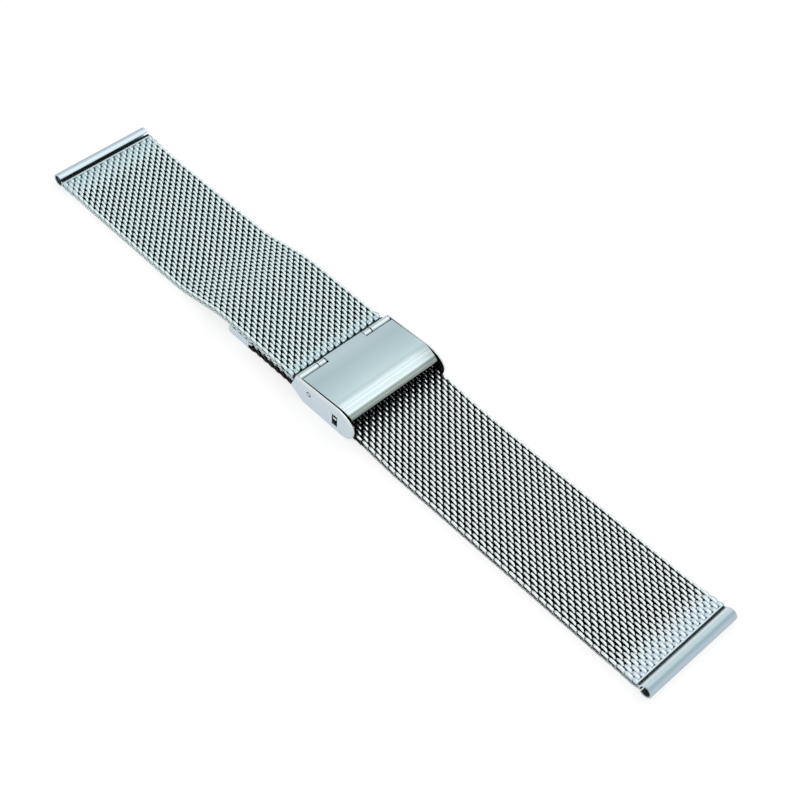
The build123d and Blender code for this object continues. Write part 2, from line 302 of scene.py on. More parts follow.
def clasp_steel(name, colour, highlight_colour, shade_colour, inner_half, floor_top):
    """Satin steel outside, with a painted highlight on faces that look up, such as the top edges of the
    cheeks, and near-black painted shade in the hollow between them: the hollow is where a point lies nearer
    the middle than the cheeks' inner faces, above the floor."""
    material = brushed_steel(name, colour, colour, 0.34, along_marks, 0.25)
    tree = material.node_tree
    shader = tree.nodes["Principled BSDF"]
    place = add_node(tree, "ShaderNodeTexCoord")
    position = add_node(tree, "ShaderNodeSeparateXYZ")
    normal = add_node(tree, "ShaderNodeSeparateXYZ")
    side = add_node(tree, "ShaderNodeMath", operation="ABSOLUTE")
    between = add_node(tree, "ShaderNodeMath", operation="LESS_THAN")
    between.inputs[1].default_value = inner_half
    above = add_node(tree, "ShaderNodeMath", operation="GREATER_THAN")
    above.inputs[1].default_value = floor_top
    hollow = add_node(tree, "ShaderNodeMath", operation="MULTIPLY")
    upward = add_node(tree, "ShaderNodeMapRange")
    upward.inputs["From Min"].default_value = highlight_starts
    upward.inputs["From Max"].default_value = highlight_full
    highlighted = add_node(tree, "ShaderNodeMix", data_type="RGBA")
    highlighted.inputs[7].default_value = (*highlight_colour, 1.0)
    coloured = add_node(tree, "ShaderNodeMix", data_type="RGBA")
    coloured.inputs[7].default_value = (*shade_colour, 1.0)
    tree.links.new(place.outputs["Object"], position.inputs[0])
    tree.links.new(place.outputs["Normal"], normal.inputs[0])
    tree.links.new(position.outputs["Y"], side.inputs[0])
    tree.links.new(side.outputs[0], between.inputs[0])
    tree.links.new(position.outputs["Z"], above.inputs[0])
    tree.links.new(between.outputs[0], hollow.inputs[0])
    tree.links.new(above.outputs[0], hollow.inputs[1])
    tree.links.new(normal.outputs["Z"], upward.inputs["Value"])
    tree.links.new(upward.outputs["Result"], highlighted.inputs[0])
    tree.links.new(shader.inputs["Base Color"].links[0].from_socket, highlighted.inputs[6])
    tree.links.new(highlighted.outputs[2], coloured.inputs[6])
    tree.links.new(hollow.outputs[0], coloured.inputs[0])
    tree.links.new(coloured.outputs[2], shader.inputs["Base Color"])
    return material


# The frame's satin colour, its painted highlight colour and its painted shade colour.
frame_steel = clasp_steel("frame_steel", colour=(0.590, 0.679, 0.731), highlight_colour=(0.679, 0.738, 0.738),
                          shade_colour=(0.037, 0.041, 0.041), inner_half=cheek_inside,
                          floor_top=channel_floor)
print("frame's inner half width:", round(cheek_inside / mm, 2), "mm")

# %% [markdown]
# Bent sheet. The cover and the tubes mirror a different part of the room at each place round their bends,
# so they show streaks that run along the bends. One could build that room. Here a list of tones along the
# sheet's run gives the streaks under plain light, and they stay on the piece when it moves.

# %% Toned steel


def toned_steel(name, tones_along, roughness, scales):
    """Brushed steel with a tone for each place along a sheet's run, which the mesh carries as the
    attribute run, from 0 to 1: painted highlights and reflections of the room round the bends. The marks'
    two colours are multiplied by the tone."""
    material = brushed_steel(name, (0.80, 0.80, 0.80), (0.76, 0.768, 0.776), roughness, scales, 0.5)
    tree = material.node_tree
    shader = tree.nodes["Principled BSDF"]
    run = add_node(tree, "ShaderNodeAttribute", attribute_name="run")
    tones = add_node(tree, "ShaderNodeValToRGB")
    ramp = tones.color_ramp
    for element, (place, colour) in zip(ramp.elements[:], [tones_along[0], tones_along[-1]]):
        element.position = place
        element.color = (*colour, 1.0)
    for place, colour in tones_along[1:-1]:
        ramp.elements.new(place).color = (*colour, 1.0)
    both = add_node(tree, "ShaderNodeMix", data_type="RGBA", blend_type="MULTIPLY")
    both.inputs[0].default_value = 1.0
    tree.links.new(run.outputs["Fac"], tones.inputs["Fac"])
    tree.links.new(tones.outputs["Color"], both.inputs[6])
    tree.links.new(shader.inputs["Base Color"].links[0].from_socket, both.inputs[7])
    tree.links.new(both.outputs[2], shader.inputs["Base Color"])
    return material


# Painted highlights and reflections along the cover: bright lines on the nose, and darker bands before and
# at the lip.
bright_line, fine_line = (0.65, 0.75, 0.76), (0.46, 0.54, 0.55)
cover_tones = [
    (0.00, (0.60, 0.74, 0.79)), (0.20, (0.53, 0.68, 0.71)), (0.50, (0.60, 0.77, 0.80)),
    (0.65, (0.68, 0.85, 0.88)), (0.72, (0.58, 0.70, 0.72)),
    (0.787, bright_line), (0.795, fine_line), (0.803, bright_line),
    (0.842, bright_line), (0.85, fine_line), (0.858, bright_line),
    (0.867, bright_line), (0.874, fine_line), (0.881, bright_line), (0.91, bright_line),
    (0.92, (0.38, 0.46, 0.44)), (0.945, (0.21, 0.26, 0.24)), (0.965, (0.36, 0.42, 0.39)),
    (1.00, (0.30, 0.34, 0.33)),
]
cover_outside = toned_steel("cover_steel", cover_tones, 0.27, (1500, 500, 1500))
print("cover: tones at", len(cover_tones), "places from the knuckle to the lip")

# %% Tube steel
# Painted highlights and reflections round each tube, from the mesh over the top and back below.
tones_a = [
    (0.00, (0.42, 0.52, 0.55)), (0.09, (0.44, 0.54, 0.58)), (0.16, (0.62, 0.74, 0.80)),
    (0.21, (0.72, 0.84, 0.92)), (0.25, (0.66, 0.78, 0.85)), (0.30, (0.52, 0.63, 0.69)),
    (1.00, (0.60, 0.71, 0.75)),
]
tones_b = [
    (0.00, (0.42, 0.50, 0.55)), (0.10, (0.74, 0.85, 0.90)), (0.17, (0.90, 1.00, 1.00)),
    (0.22, (0.56, 0.68, 0.74)), (0.26, (0.43, 0.54, 0.58)), (0.305, (0.34, 0.45, 0.50)),
    (0.35, (0.50, 0.62, 0.69)), (0.39, (0.59, 0.72, 0.80)), (0.50, (0.55, 0.66, 0.72)),
    (1.00, (0.60, 0.71, 0.75)),
]
tube_roughness = 0.40
tube_marks = (7000, 90, 7000)
tube_steel_a = toned_steel("tube_steel_a", tones_a, tube_roughness, tube_marks)
tube_steel_b = toned_steel("tube_steel_b", tones_b, tube_roughness, tube_marks)
print("materials with all finishes:", len(bpy.data.materials))

# %% [markdown]
# The path of the band. Seen from the side, each half is a row of flat stretches between the hinges of the
# CAD model. Real mesh can't kink, so the path of the wires is the same line with its corners rounded.
# A point of the mesh is then given by how far it lies along the path and how high it stands off it.

# %% A path with rounded corners
corner_reach = 2.2 * mm
path_step = 0.02 * mm


class Path:
    """A line along the band with rounded corners. The height at a place is the mean of the straight
    line's height over a window centred on that place, so a corner turns evenly across the window."""

    def __init__(self, corners):
        corners = np.array(corners)
        first, last = corners[0, 0] - 2 * corner_reach, corners[-1, 0] + 2 * corner_reach
        fine = np.arange(first, last, path_step)
        slopes = np.diff(corners[:, 1]) / np.diff(corners[:, 0])
        height = np.interp(fine, corners[:, 0], corners[:, 1])
        height += np.minimum(fine - corners[0, 0], 0) * slopes[0]
        height += np.maximum(fine - corners[-1, 0], 0) * slopes[-1]
        window = np.ones(int(2 * corner_reach / path_step))
        smooth = np.convolve(height, window / len(window), mode="same")
        keep = slice(len(window), -len(window))
        self.x, self.z = fine[keep], smooth[keep]
        self.s = np.concatenate([[0], np.cumsum(np.hypot(np.diff(self.x), np.diff(self.z)))])
        self.slope = np.arctan2(np.gradient(self.z), np.gradient(self.x))

    def along(self, x):
        """Distance along the path of a place x."""
        return np.interp(x, self.x, self.s)

    def bend(self, flat):
        """Flat points (distance along, across, height) laid on the path: the place on the line, moved
        off it at right angles by the height."""
        s, y, height = flat[..., 0], flat[..., 1], flat[..., 2]
        slope = np.interp(s, self.s, self.slope)
        x = np.interp(s, self.s, self.x) - np.sin(slope) * height
        z = np.interp(s, self.s, self.z) + np.cos(slope) * height
        return np.stack([x, y, z], axis=-1)


print("a corner is rounded over", round(2 * corner_reach / mm, 1), "mm")

# %% The paths of the two halves


def hinge_point(name):
    """A hinge's place along the band and its height, in metres."""
    place = joints[name]["pos_m"]
    return place[0], place[2]


def tube_middle(node):
    """The middle of a lug tube, from the outer end of its box and its radius."""
    low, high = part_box(node)
    radius = (high[2] - low[2]) / 2
    outer = low[0] + radius if low[0] < 0 else high[0] - radius
    return outer, (high[2] + low[2]) / 2


def box_end(node, side):
    """The middle of one end of a node's box: its place along the band, by side 0 or 1, and its height."""
    low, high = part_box(node)
    return (low, high)[side][0], (low[2] + high[2]) / 2


half_a_hinges = [f"bend_a_{number}" for number in range(6, 0, -1)]
half_b_hinges = [f"bend_b_{number}" for number in range(1, 8)]
tube_a = tube_middle("lug_tube_a")
tube_b = tube_middle("lug_tube_b")
clasp_end_a = box_end("mesh_a_1", 1)
tail_end_b = box_end("mesh_b_1", 0)
path_a = Path([tube_a] + [hinge_point(name) for name in half_a_hinges] + [clasp_end_a])
path_b = Path([tail_end_b] + [hinge_point(name) for name in half_b_hinges] + [tube_b])
print("half A from", round(path_a.x[0] / mm, 1), "to", round(path_a.x[-1] / mm, 1), "mm")
print("half B from", round(path_b.x[0] / mm, 1), "to", round(path_b.x[-1] / mm, 1), "mm")

# %% [markdown]
# The woven mesh. Each row of the weave is one flattened spiral of round wire that runs across the band,
# and every spiral is threaded through its neighbours. One could repeat a small tile of the weave as
# instances. Here every spiral is worked out on its own, because the rows near the lug tubes and the clasp
# are pressed flatter and wider, and the band's edges end in closed loops, which a tile couldn't show.

# %% Sizes of the weave
strap_width = 19.7 * mm
mesh_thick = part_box("mesh_b_4")[1][2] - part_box("mesh_b_4")[0][2]
half_thick = mesh_thick / 2
wire_radius = 0.24 * mm
row_spacing = 0.772 * mm
strokes_across = 13
loop_line = strap_width / 2 - wire_radius
coil_pitch = 2 * loop_line / strokes_across
coil_reach = 0.80 * mm
print("mesh", round(mesh_thick / mm, 2), "mm thick, strokes", round(coil_pitch / mm, 2), "mm apart")

# %% Pressed ends


def press_share(s, ends, lengths):
    """How hard the weave is pressed at a distance s: 1 at each end of the mesh, falling smoothly to 0."""
    share = np.zeros_like(s)
    for end, length in zip(ends, lengths):
        near = np.clip(1 - np.abs(s - end) / length, 0, 1)
        share = np.maximum(share, near * near * (3 - 2 * near))
    return share


print("pressed half way along:", press_share(np.array([0.5]), (0, 9), (1, 1)))

# %% [markdown]
# One spiral's line. Across the band the wire goes over, down, back and up again, so its line is a coil
# that is squared off to lie flat on both faces. A real coil is made by winding wire on a flat bar. Here it
# is a formula in one angle, with shares for how square it is and for where it moves across the band.

# %% The line of a spiral
turn_steps = 12
swing_square_share = 0.95
lift_square_share = 0.85
cross_over_share = 0.61
cross_over_range_share = 0.34
cross_over_reach = 62 * mm
rim_square_share = 0.6
rim_thin_share = 0.45
rim_bend = 0.5 * mm


def squared_off(wave, power):
    """A wave between -1 and 1 with its size raised to a power, which below 1 makes it stay near its
    ends for longer."""
    return np.sign(wave) * np.abs(wave) ** power


def coil_line(places, parity, middle):
    """Flat points along every second spiral, and the coil's angle t at each. The angle grows steadily:
    along the band the coil swings as a squared-off cosine, through the thickness as a squared-off sine,
    and across the band it moves on by one pitch a turn, half a pitch ahead in the odd rows. The share of
    that move that falls between the strokes grows along the band, past its middle, so the strokes lean
    less and less. At the band's edge the move across stops, and the last turn closes into a lower,
    squarer loop."""
    first_turn = -(strokes_across / 2 + 1)
    last_turn = strokes_across / 2 + 0.5 - parity
    count = int(round((last_turn - first_turn) * turn_steps)) + 1
    t = np.linspace(first_turn, last_turn, count) * 2 * np.pi
    t = t[None, :] + np.zeros((len(places), 1))
    past_middle = np.clip((places - middle) / cross_over_reach, -1, 1)
    cross_over = (cross_over_share + cross_over_range_share * past_middle)[:, None]
    step_over = t + cross_over / 2 * np.sin(2 * t)
    y = coil_pitch * (step_over / (2 * np.pi) + 0.25 + 0.5 * parity)
    past = np.clip((np.abs(y) - loop_line) / rim_bend, 0, 1)
    y = np.clip(y, -loop_line, loop_line)
    swing = squared_off(np.cos(t), swing_square_share + (rim_square_share - swing_square_share) * past)
    lift = squared_off(np.sin(t), lift_square_share + (rim_square_share - lift_square_share) * past)
    height = (half_thick - wire_radius) * (1 - rim_thin_share * past)
    return np.stack([places[:, None] + coil_reach * swing, y, height * lift], axis=-1), t


print("a spiral's line has", coil_line(np.zeros(1), 0, 0)[0].shape[1], "points")

# %% Wire round the line
ring_steps = 6
ring_lean = 0.5
press_flat_share = 0.5
press_widen_share = 0.75


def wire_rings(line_points, t, press):
    """Rings of points round each point of a line, at right angles to it: the wire's radius outwards, and
    a pressed wire's greater half width sideways."""
    along = np.gradient(line_points, axis=1)
    along /= np.linalg.norm(along, axis=-1, keepdims=True)
    outward = np.stack([np.cos(t) * ring_lean, np.zeros_like(t), np.sin(t)], axis=-1)
    side = np.cross(along, outward)
    side /= np.linalg.norm(side, axis=-1, keepdims=True)
    outward = np.cross(side, along)
    angle = np.arange(ring_steps) * 2 * np.pi / ring_steps
    wide = wire_radius * (1 + press_widen_share * press)[..., None, None]
    ring = outward[:, :, None, :] * np.cos(angle)[None, None, :, None] * wire_radius
    ring = ring + side[:, :, None, :] * np.sin(angle)[None, None, :, None] * wide
    return line_points[:, :, None, :] + ring


print("wire", round(2 * wire_radius / mm, 2), "mm thick with", ring_steps, "sides")

# %% Rows of wire
rim_outer = 0.64
rim_start_share = 0.8
cut_outer = 0.66
# Painted shadow of the cover's lip on the mesh: how far it reaches, and how much it lowers outer.
lip_shadow_length = 3.4 * mm
lip_shadow_share = 0.26


def wire_rows(places, parity, ends, press_lengths, shadow_end, middle):
    """Every second spiral as rings of points, cut off flat where the weave is pressed and at its two
    ends. Also gives how far out of the weave each point lies, lowered before and under the clasp as a
    painted shadow of the cover's lip, and how hard it is pressed, both from 0 to 1."""
    line_points, t = coil_line(places, parity, middle)
    press = press_share(line_points[..., 0], ends, press_lengths)
    points = wire_rings(line_points, t, press)
    press = press[..., None] + np.zeros(ring_steps)
    top = half_thick - press_flat_share * wire_radius * press
    points[..., 2] = np.clip(points[..., 2], -top, top)
    past_line = (np.abs(points[..., 1]) - loop_line) / wire_radius
    edge = rim_outer * np.clip(past_line + rim_start_share, 0, 1)
    outer = np.maximum(np.abs(points[..., 2]) / top, edge)
    # Painted shadow: outer is lowered towards the clasp and under it, so the wires there are darker.
    outer *= 1 - lip_shadow_share * np.clip((shadow_end - points[..., 0]) / lip_shadow_length, 0, 1)
    cut = (points[..., 0] < ends[0]) | (points[..., 0] > ends[1])
    points[..., 0] = np.clip(points[..., 0], *ends)
    return points, np.where(cut, cut_outer, outer), press


print("dull over", round(lip_shadow_length / mm, 1), "mm, by a share of", lip_shadow_share)

# %% [markdown]
# The dark strip. The real weave is too dense to look through, but between these wires small gaps line
# up. More wires would close them at a great cost in triangles, and a thin strip in the middle does too.
# It takes the darkest wire colour, as painted shade of the weave's depth.

# %% Dark strip
core_half = 0.06 * mm
core_step = 0.5 * mm
core_inset = 0.5 * mm


def core_strip(start, end):
    """Flat points and quads of a thin closed strip through the middle of the weave: a narrow box of
    cross sections from one end to the other, and a quad over each end."""
    along = np.linspace(start, end, int((end - start) / core_step) + 2)
    wide = loop_line - core_inset
    ring = np.array([[-wide, -core_half], [wide, -core_half], [wide, core_half], [-wide, core_half]])
    points = np.zeros((len(along), len(ring), 3))
    points[..., 0] = along[:, None]
    points[..., 1:] = ring
    caps = np.array([[0, 3, 2, 1], [0, 1, 2, 3]])
    caps[1] += (len(along) - 1) * len(ring)
    sides = grid_faces(len(along), len(ring), closed=True)[:, ::-1]
    return points.reshape(-1, 3), np.concatenate([sides, caps])


print("strip", round(2 * core_half / mm, 2), "mm thick, set in by", round(core_inset / mm, 2), "mm")

# %% [markdown]
# The woven pieces. On the band the mesh bends at every spiral, and in the CAD model at 13 hinges. One
# piece for each half could only follow one joint, so each half is laid in pieces that cross one hinge
# each.

# %% One stretch of the weave


def mesh_piece(name, path, places, odd, core, wire, *weave):
    """One stretch of the weave: its spirals' rings joined into tubes, two quads over each tube's six-sided
    ends, and the dark strip. weave holds the other values of wire_rows."""
    flat, quads = core_strip(*core)
    # The strip's outer is 0, so it takes the near-black painted shade of the weave's depth.
    outer = np.zeros(len(flat))
    press = np.zeros(len(flat))
    for parity in (0, 1):
        points, row_outer, row_press = wire_rows(places[odd == parity], parity, *weave)
        rows, steps, ring, _ = points.shape
        tube = grid_faces(steps, ring, closed=True)[:, ::-1]
        caps = np.array([[0, 1, 2, 3], [0, 3, 4, 5]])
        single = np.concatenate([tube, caps, caps[:, ::-1] + (steps - 1) * ring])
        all_rows = (single[None] + np.arange(rows)[:, None, None] * steps * ring).reshape(-1, 4)
        quads = np.concatenate([quads, all_rows + len(flat)])
        flat = np.concatenate([flat, points.reshape(-1, 3)])
        outer = np.append(outer, row_outer)
        press = np.append(press, row_press)
    piece = add_mesh(name, path.bend(flat), quads, wire)
    add_values(piece, "outer", outer)
    add_values(piece, "pressed", press)
    return piece


print("each row reaches", round(coil_reach / row_spacing, 2), "row spacings to both sides")

# %% Laying a half
end_inset_share = 0.35


def lay_mesh(label, path, start, end, press_lengths, pieces, shadow_x, wire):
    """Fills one half from start to end with equal rows, in pieces that each cross one hinge. Up to the
    place shadow_x the mesh is darkened by a painted shadow. pieces lists (name, hinge, bodies, replaced
    nodes) in order along the band."""
    first = path.along(start) + end_inset_share * coil_reach
    last = path.along(end) - end_inset_share * coil_reach
    count = int(round((last - first) / row_spacing)) + 1
    places = np.linspace(first, last, count)
    odd = np.arange(count) % 2
    hinges = np.array([path.along(hinge_point(hinge)[0]) for _, hinge, _, _ in pieces])
    cuts = np.concatenate([[-1.0], (hinges[1:] + hinges[:-1]) / 2, [1.0]])
    ends = (path.along(start), path.along(end))
    weave = (ends, press_lengths, path.along(shadow_x), path.along(start) - start)
    for index, (name, hinge, bodies, replaced) in enumerate(pieces):
        mine = (places >= cuts[index]) & (places < cuts[index + 1])
        core = np.clip(cuts[index:index + 2], *ends)
        piece = mesh_piece(name, path, places[mine], odd[mine], core, wire, *weave)
        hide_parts(*replaced)
        middle = hinges[index]
        bend = path.bend(np.array([[middle - corner_reach, 0, 0], [middle + corner_reach, 0, 0]]))
        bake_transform(piece)
    print(label, "has", count, "rows", round((places[1] - places[0]) / mm, 3), "mm apart")


tube_radius = (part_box("lug_tube_a")[1][2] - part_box("lug_tube_a")[0][2]) / 2
mesh_gap = 0.22 * mm
print("tubes", round(2 * tube_radius / mm, 2), "mm wide")

# %% Half A, from its tube to the clasp
a_pieces = []
for number in range(6, 0, -1):
    bodies = (f"a{number + 1}", "link" if number == 1 else f"a{number}")
    replaced = [f"mesh_a_{number}"] + (["mesh_a_7"] if number == 6 else [])
    a_pieces.append((f"woven_mesh_a_{number}", f"bend_a_{number}", bodies, replaced))

seam_a = clasp_end_a[0] + 0.15 * mm
mesh_end_a = tube_a[0] + tube_radius + mesh_gap
pressed_a = (6 * mm, 3 * mm)
lay_mesh("half A", path_a, mesh_end_a, seam_a, pressed_a, a_pieces, path_a.x[0], wire_a)

# %% Half B, from its tail to its tube
b_pieces = []
for number in range(1, 8):
    bodies = (f"b{number}", f"b{number + 1}")
    replaced = [f"mesh_b_{number}"] + (["mesh_b_8"] if number == 7 else [])
    b_pieces.append((f"woven_mesh_b_{number}", f"bend_b_{number}", bodies, replaced))

cap_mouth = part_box("tail_cap")[1][0]
mesh_end_b = tube_b[0] - tube_radius - mesh_gap
pressed_b = (2 * mm, 6 * mm)
# The painted shadow of the lip reaches this far in front of the cover.
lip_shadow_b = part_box("cover")[1][0] + lip_shadow_length
lay_mesh("half B", path_b, cap_mouth, mesh_end_b, pressed_b, b_pieces, lip_shadow_b, wire_b)

# %% [markdown]
# Sheet metal. The cover, the hinge and the lug tubes are bent from thin sheet, so each keeps one side
# outline from edge to edge. One could model them by hand, but an outline that is drawn across the width
# keeps the bends exact, and a fine bevel then rounds the edges, so that they catch the light.

# %% Helpers for sheet metal
edge_round = 0.06 * mm
smooth_below, bevel_above = 35, 40


def arc(centre, radius, start, end, count):
    """Points (x, z) on a round bend: centre + radius * (cos, sin), from one angle to another in
    degrees."""
    angles = np.radians(np.linspace(start, end, count))
    return np.array(centre) + radius * np.stack([np.cos(angles), np.sin(angles)], axis=1)


def rectangle(x, z, length, height):
    """The outline of an upright rectangle round the point (x, z)."""
    half = np.array([length, height]) / 2
    return np.array([x, z]) + half * [[-1, -1], [1, -1], [1, 1], [-1, 1]]


def round_edges(piece, width):
    """Smooth shading between soft creases, and a bevel along the sharp ones."""
    piece.data.set_sharp_from_angle(angle=math.radians(smooth_below))
    if not width:
        return
    bevel = piece.modifiers.new("edges", "BEVEL")
    bevel.width = width
    bevel.segments = 2
    bevel.limit_method = "ANGLE"
    bevel.angle_limit = math.radians(bevel_above)


def add_prism(name, outline, low, high, material, body, slot, node=None, width=edge_round):
    """One side outline (x, z), anticlockwise from the front, drawn across from y = low to y = high: a
    quad between each two neighbours, and a face over each end. It rides a body and may stand for a CAD
    node."""
    outline = np.asarray(outline)
    count = len(outline)
    points = np.concatenate([np.insert(outline, 1, side, axis=1) for side in (low, high)])
    here = np.arange(count)
    beside = (here + 1) % count
    sides = np.stack([here, here + count, beside + count, beside], axis=1)
    ends = [here.tolist(), (here[::-1] + count).tolist()]
    mesh = bpy.data.meshes.new(name)
    mesh.from_pydata(points.tolist(), [], sides.tolist() + ends)
    mesh.polygons.foreach_set("use_smooth", np.full(len(mesh.polygons), True))
    mesh.materials.append(material)
    piece = bpy.data.objects.new(name, mesh)
    bpy.context.scene.collection.objects.link(piece)
    round_edges(piece, width)
    if node:
        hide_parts(node)
    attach(piece, body)
    return piece


print("edges of sheet are rounded by", round(edge_round / mm, 2), "mm")

# %% [markdown]
# The cover. It is one sheet: rolled into a knuckle round the hinge pin at its centre, flat for most of its
# length, bent over at the nose and turned in at the lip. It could be a solid block with a curved top, but
# then the lip and the knuckle would have no thickness of sheet. Here the sheet's middle line is a row of
# points, every point is drawn across the width, and the sheet then gets its thickness.

# %% The cover's middle line
pin_x, _, pin_z = joints["cover_hinge"]["pos_m"]
sheet_thick = 0.45 * mm
barrel_radius = 0.75 * mm
side_start, flat_end = 0.95 * mm, 8.4 * mm
flat_slope = 4.76
roll_start = 372
nose_radius, nose_turn = 6.0 * mm, 34.0
lip_radius, lip_turn = 0.4 * mm, 50.0
roll_points, nose_points, lip_points = 28, 14, 7


def bend_on(line, heading, radius, turn, count):
    """Goes on from a line's last point along a bend to the right: the bend's centre lies at right angles
    to the heading, and the points go round it. Returns the longer line and the new heading."""
    normal = np.radians(heading - 90)
    centre = line[-1] + radius * np.array([math.cos(normal), math.sin(normal)])
    bend = arc(centre, radius, heading + 90, heading + 90 - turn, count)
    return np.concatenate([line, bend[1:]]), heading - turn


roll = arc((pin_x, pin_z), barrel_radius - sheet_thick / 2, roll_start, 90 + flat_slope, roll_points)
flat_run = np.array([[side_start, 0.0], [flat_end, 0.0]])
flat_height = pin_z + barrel_radius - sheet_thick / 2
flat_run[:, 1] = flat_height + flat_run[:, 0] * math.tan(math.radians(flat_slope))
flat_run[:, 0] += pin_x
middle_line = np.concatenate([roll, flat_run])
middle_line, heading = bend_on(middle_line, flat_slope, nose_radius, nose_turn, nose_points)
middle_line, heading = bend_on(middle_line, heading, lip_radius, lip_turn, lip_points)
print("cover's middle line has", len(middle_line), "points and ends at", round(heading, 1), "degrees")

# %% Cover
cover_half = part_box("cover")[1][1]
knuckle_half = 4.15 * mm
nose_narrowing = 0.35 * mm
narrow_start = 0.72
cover_edge_round = 0.10 * mm

across = np.array([-cover_half, -knuckle_half, knuckle_half, cover_half])
cover_points = np.repeat(middle_line[:, None, :], len(across), axis=1)
cover_points = np.insert(cover_points, 1, 0.0, axis=2)
cover_points[..., 1] = across
cover_quads = grid_faces(len(middle_line), len(across))
cell_row, cell_column = np.divmod(np.arange(len(cover_quads)), len(across) - 1)
cover_quads = cover_quads[(cell_row >= len(roll)) | (cell_column == 1)]
run = np.concatenate([[0.0], np.cumsum(np.hypot(*np.diff(middle_line, axis=0).T))])
run = np.clip((run - run[len(roll)]) / (run[-1] - run[len(roll)]), 0, 1)
narrowing = nose_narrowing * np.clip((run - narrow_start) / (1 - narrow_start), 0, 1)
cover_points[:, 0, 1] += narrowing
cover_points[:, -1, 1] -= narrowing
cover = add_mesh("clasp_cover", cover_points.reshape(-1, 3), cover_quads[:, ::-1], cover_outside)
add_values(cover, "run", np.repeat(run, len(across)))
# The sheet's inner side takes the near-black finish, as painted shade.
cover.data.materials.append(cover_inside)
thicken = cover.modifiers.new("sheet", "SOLIDIFY")
thicken.thickness = sheet_thick
thicken.offset = 0.0
thicken.material_offset = 1
round_edges(cover, cover_edge_round)
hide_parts("cover")
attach(cover, "cover")
print("cover is", round(2 * cover_half / mm, 2), "mm wide, with", len(cover_quads), "faces as a thin sheet")

# %% [markdown]
# The hinge. Behind the cover's knuckle lie the end link's two short knuckles and the frame's two long
# barrels, all on one pin. They are plain rolls of sheet, so each is a round outline drawn across its own
# width, and thin dark gaps part them, as in the photograph.

# %% Barrels and link knuckles
knuckle_gap = 0.18 * mm
link_knuckle = 1.45 * mm
link_radius = 0.70 * mm
barrel_low = knuckle_half + 2 * knuckle_gap + link_knuckle
barrel_high = 9.97 * mm
link_low = knuckle_half + knuckle_gap
round_points = 41
thin_round = 0.02 * mm
arm_start, arm_below, arm_above, arm_drop = 0.2 * mm, 0.2 * mm, 0.35 * mm, 0.5 * mm
roll_outline = arc((pin_x, pin_z), barrel_radius, 0, 360, round_points)[:-1]
link_outline = arc((pin_x, pin_z), link_radius, 0, 360, round_points)[:-1]
arm = np.array([clasp_end_a[0] + arm_start, clasp_end_a[1]])
arm_outline = [arm + (0, -arm_below), (pin_x, pin_z - arm_drop), (pin_x, pin_z), arm + (0, arm_above)]
barrel_piece = ("clasp", "polished_steel", "hinge_barrels")
link_piece = ("link", "polished_steel", "end_link")
for side, label in ((-1, "near"), (1, "far")):
    low, high = sorted([side * barrel_low, side * barrel_high])
    add_prism(f"barrel_{label}", roll_outline, low, high, polished_steel, *barrel_piece)
    low, high = sorted([side * link_low, side * (link_low + link_knuckle)])
    add_prism(f"link_knuckle_{label}", link_outline, low, high, polished_steel, *link_piece)
    # The link's arm lies in the hinge's gap and gets the near-black painted shade.
    add_prism(f"link_arm_{label}", arm_outline, low, high, dark_steel, *link_piece, thin_round)
print("barrels from", round(barrel_low / mm, 2), "to", round(barrel_high / mm, 2), "mm off the middle")

# %% The link's bar and tongue
bar_length, bar_height = 0.35 * mm, 1.0 * mm
into_mesh, plate_thick = 3.0 * mm, 0.3 * mm
link_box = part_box("end_link")
bar_outline = rectangle(clasp_end_a[0] + bar_length / 2, clasp_end_a[1], bar_length, bar_height)
plate_outline = rectangle(clasp_end_a[0] - into_mesh / 2, clasp_end_a[1], into_mesh, plate_thick)
# The link's bar and tongue lie in the gap at the mesh's end and get the near-black painted shade.
for name, outline in (("link_bar", bar_outline), ("link_tongue", plate_outline)):
    add_prism(name, outline, link_box[0][1], link_box[1][1], dark_steel, *link_piece, thin_round)
print("link bar is", round((link_box[1][1] - link_box[0][1]) / mm, 2), "mm wide")

# %% [markdown]
# The lock pin's heads. Each end of the pin is a low head in a ring-shaped groove, which shows as a dark
# ring. One could cut the groove, but it is very fine, so it is a thin near-black disc that the head stands
# on, with the groove's shade painted on it.

# %% Lock pin
head_radius, groove_radius = 0.34 * mm, 0.50 * mm
head_stand, groove_stand = 0.04 * mm, 0.006 * mm
head_round = 0.05 * mm
pin_points = 33
lock_place = joints["lock_lift"]["pos_m"]
cheek_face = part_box("clasp_frame")[1][1]
pin_outline = arc((lock_place[0], lock_place[2]), head_radius, 0, 360, pin_points)[:-1]
groove_outline = arc((lock_place[0], lock_place[2]), groove_radius, 0, 360, pin_points)[:-1]
pin_end = cheek_face + head_stand
add_prism("lock_pin_heads", pin_outline, -pin_end, pin_end,
          satin_steel, "clasp", "polished_steel", "lock_pin", head_round)
for side, label in ((-1, "near"), (1, "far")):
    low, high = sorted([side * (cheek_face - groove_stand), side * (cheek_face + groove_stand)])
    name = f"pin_groove_{label}"
    # The groove disc is near black: painted shade of the groove.
    add_prism(name, groove_outline, low, high, dark_steel, "clasp", "satin_steel", width=0.0)
print("lock pin is", round(2 * pin_end / mm, 2), "mm long")

# %% [markdown]
# The lug tubes. Each is a strip of sheet rolled round the spring bar's bore, with its other edge run into
# the mesh as a tongue. It could be a plain pipe, but then the slot where the sheet's edge stops short of
# the mesh would be missing. The outline goes round the outside, along the tongue and back round the bore.

# %% Outline of a tube
bore_radius = 0.9 * mm
tongue_half = 0.15 * mm
tongue_length = 4.4 * mm
collar_half, collar_open = 0.42 * mm, 0.62 * mm
lip_angle = 47
tube_points, bore_points = 60, 48


